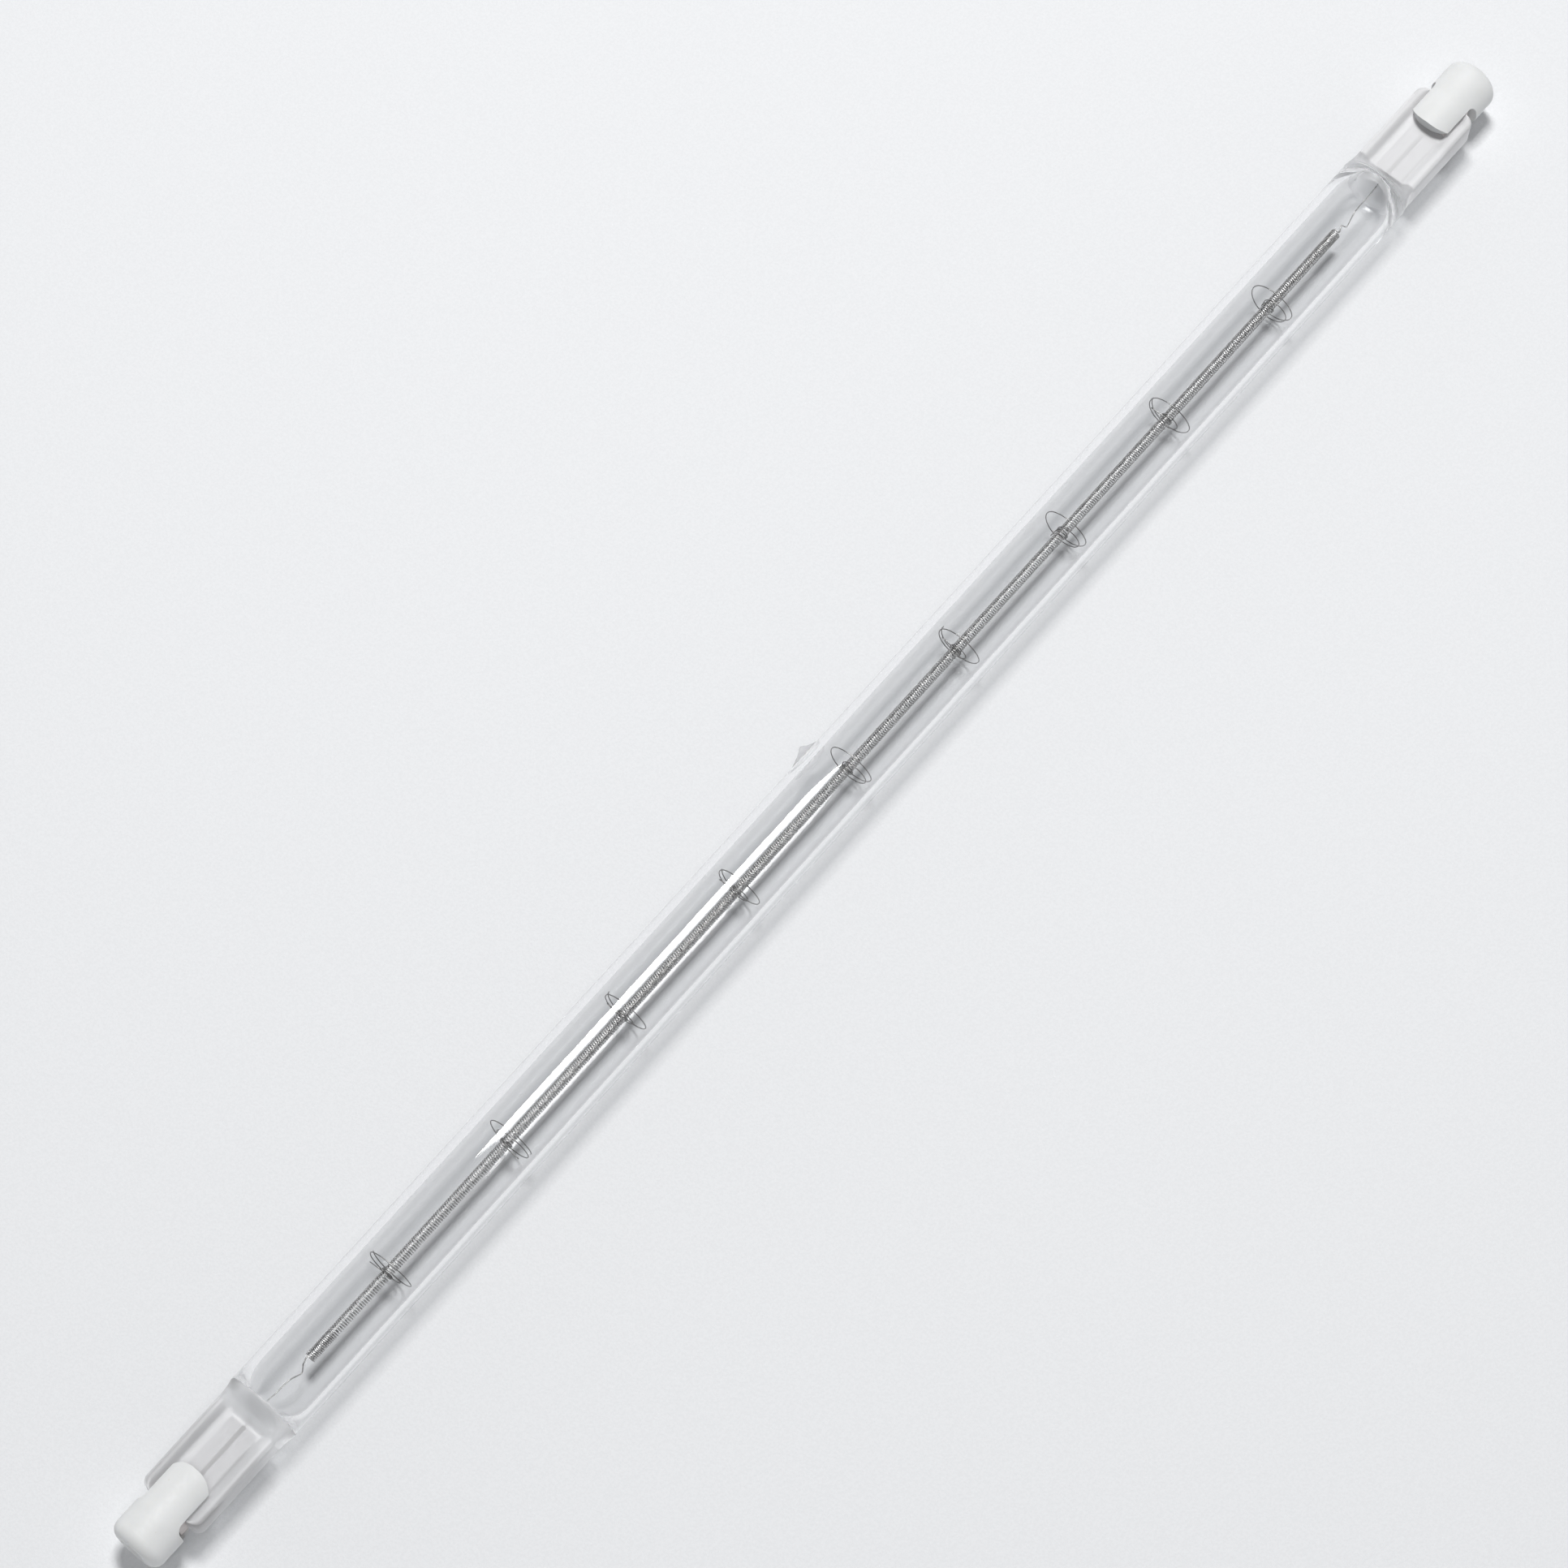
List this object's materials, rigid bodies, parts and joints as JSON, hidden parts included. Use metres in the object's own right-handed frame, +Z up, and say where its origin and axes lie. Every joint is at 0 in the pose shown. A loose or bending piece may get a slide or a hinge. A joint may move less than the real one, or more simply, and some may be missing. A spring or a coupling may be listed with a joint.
{
  "type": "infrared halogen heat lamp",
  "caption": "Straight double-ended quartz heat lamp: clear tube with a supported tungsten coil, pinched flat ends and ceramic caps with recessed contacts.",
  "frame": {"origin": "mid-length of the lamp, on the axis of the quartz tube", "axes": "+X along the lamp to its right-hand cap, +Y to the side of the exhaust pip, +Z up from the flat of the pinches"},
  "size_m": [0.253, 0.011, 0.0098],
  "materials": {
    "quartz": "clear polished quartz",
    "tungsten": "bare drawn wire",
    "support_wire": "bare drawn wire",
    "ceramic": "matt fired ceramic",
    "contact_metal": "plated metal",
    "cement": "dry cement",
    "foil": "thin rolled foil",
    "lead_wire": "bare drawn wire"
  },
  "bodies": {
    "root": {"quartz_envelope": "quartz", "filament": "tungsten", "coil_support_1": "support_wire", "coil_support_2": "support_wire", "coil_support_3": "support_wire", "coil_support_4": "support_wire", "coil_support_5": "support_wire", "coil_support_6": "support_wire", "coil_support_7": "support_wire", "coil_support_8": "support_wire", "coil_support_9": "support_wire", "ceramic_cap_left": "ceramic", "contact_button_left": "contact_metal", "cap_cement_left": "cement", "seal_foil_left": "foil", "outer_lead_left": "lead_wire", "ceramic_cap_right": "ceramic", "contact_button_right": "contact_metal", "cap_cement_right": "cement", "seal_foil_right": "foil", "outer_lead_right": "lead_wire"}
  },
  "joints": []
}
